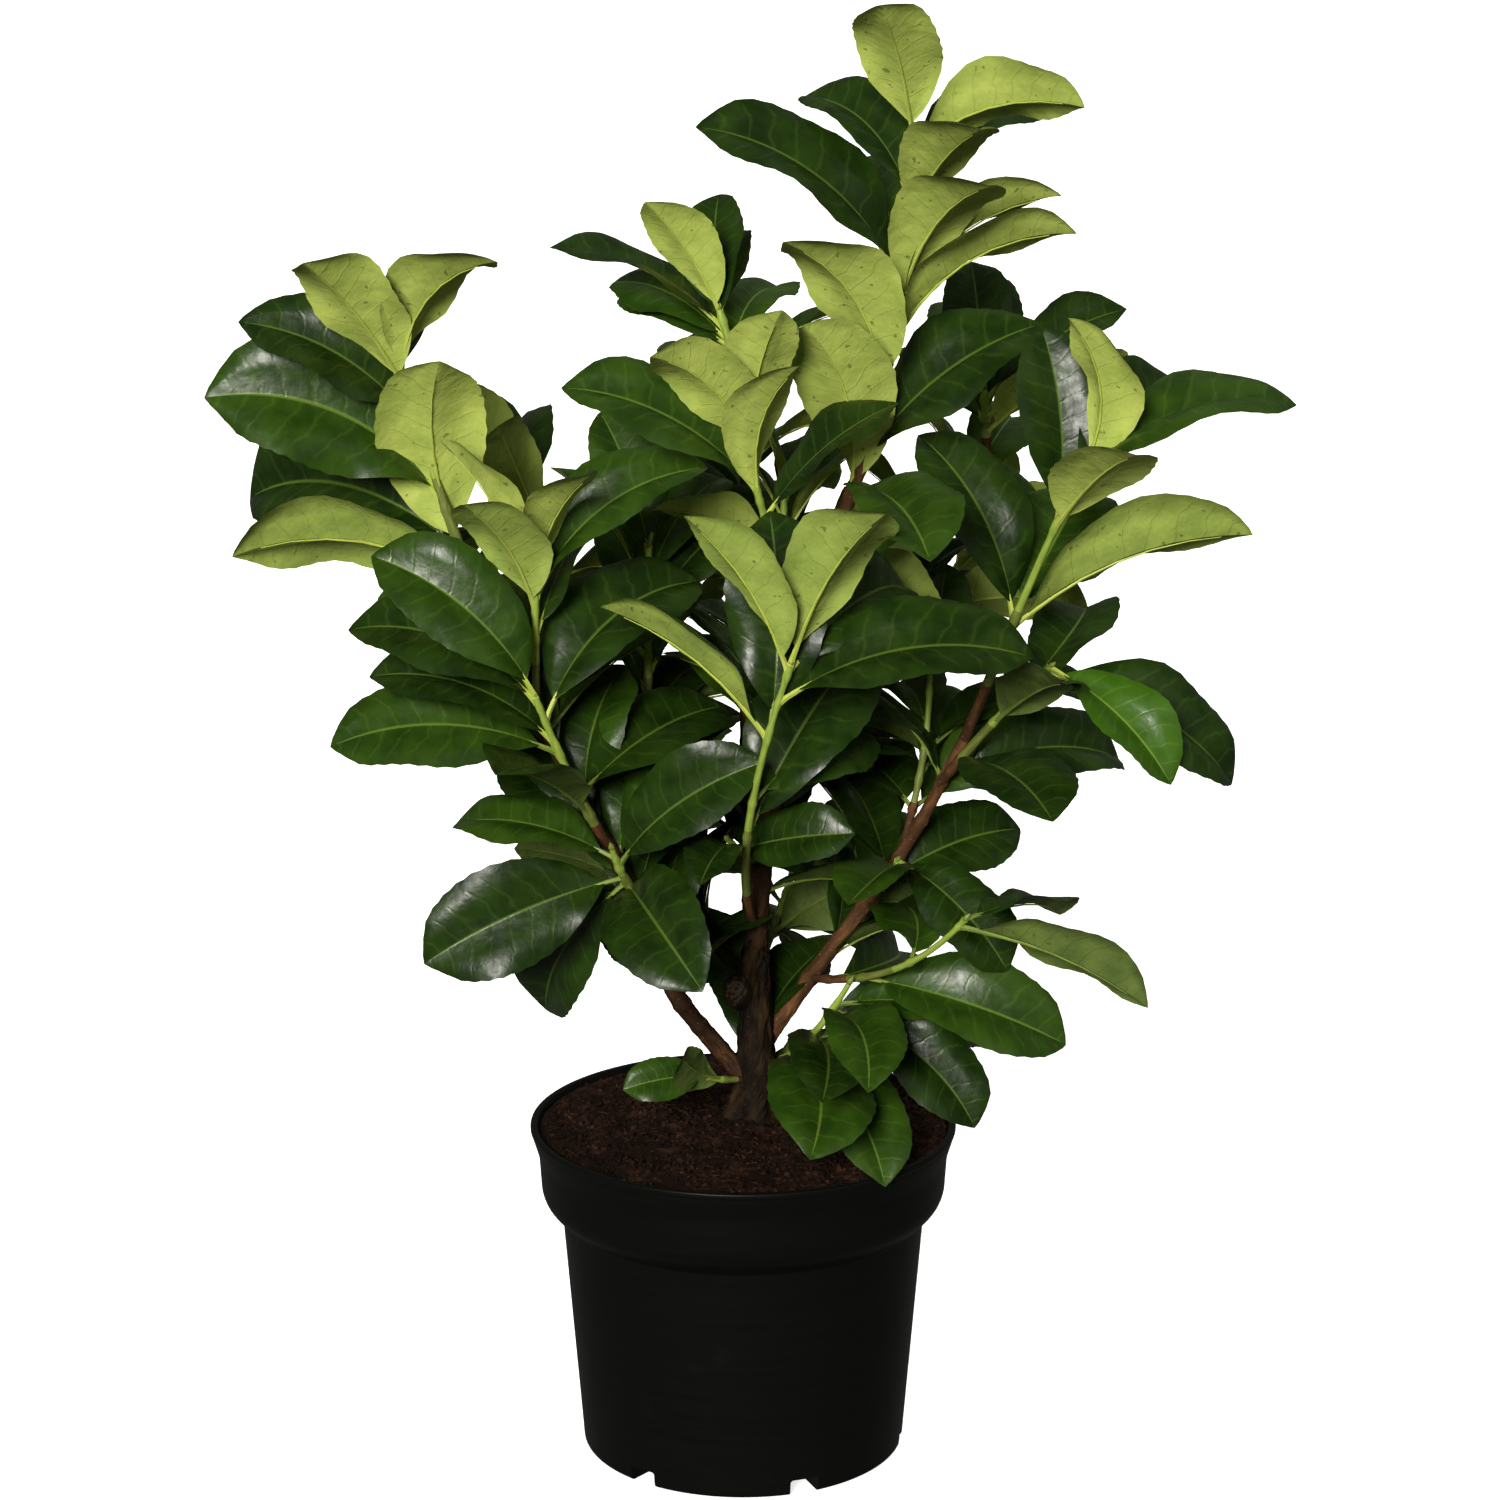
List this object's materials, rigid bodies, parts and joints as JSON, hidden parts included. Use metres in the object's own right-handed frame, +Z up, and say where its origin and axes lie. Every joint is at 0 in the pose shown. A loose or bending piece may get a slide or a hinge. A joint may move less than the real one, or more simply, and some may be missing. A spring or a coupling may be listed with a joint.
{
  "type": "potted cherry laurel",
  "caption": "Young broad-leaved evergreen shrub with upright shoots of large glossy leaves on forking stems, standing in a round tapered nursery pot filled with soil.",
  "frame": {"origin": "middle of the pot's flat underside", "axes": "+Z up, +X to the viewer's right and +Y away from the viewer in the picture"},
  "size_m": [0.5547, 0.3755, 0.7827],
  "materials": {
    "pot": "satin black moulded plastic",
    "soil": "dark peaty potting soil",
    "bark": "rough brown bark",
    "foliage": "glossy dark green leaves with pale matt undersides"
  },
  "bodies": {
    "root": {"pot": "pot", "soil": "soil", "trunk": "bark", "leader_bough": "bark", "left_bough": "bark", "right_bough": "bark", "back_bough": "bark", "back_left_bough": "bark", "back_right_bough": "bark", "top_shoot": "foliage", "left_top_shoot": "foliage", "front_shoot": "foliage", "left_front_shoot": "foliage", "right_shoot": "foliage", "left_inner_shoot": "foliage", "upper_front_shoot": "foliage", "left_low_shoot": "foliage", "right_low_shoot": "foliage", "low_right_shoot": "foliage", "foot_right_shoot": "foliage", "low_front_shoot": "foliage", "back_top_shoot": "foliage", "back_right_shoot": "foliage", "right_inner_shoot": "foliage", "foot_left_shoot": "foliage", "arch_shoot": "foliage", "inner_left_shoot": "foliage", "back_left_shoot": "foliage", "rear_shoot": "foliage", "rear_right_shoot": "foliage", "rear_low_shoot": "foliage", "upper_inner_shoot": "foliage", "rear_left_shoot": "foliage", "mid_left_shoot": "foliage", "low_inner_shoot": "foliage", "low_left_shoot": "foliage"}
  },
  "joints": []
}
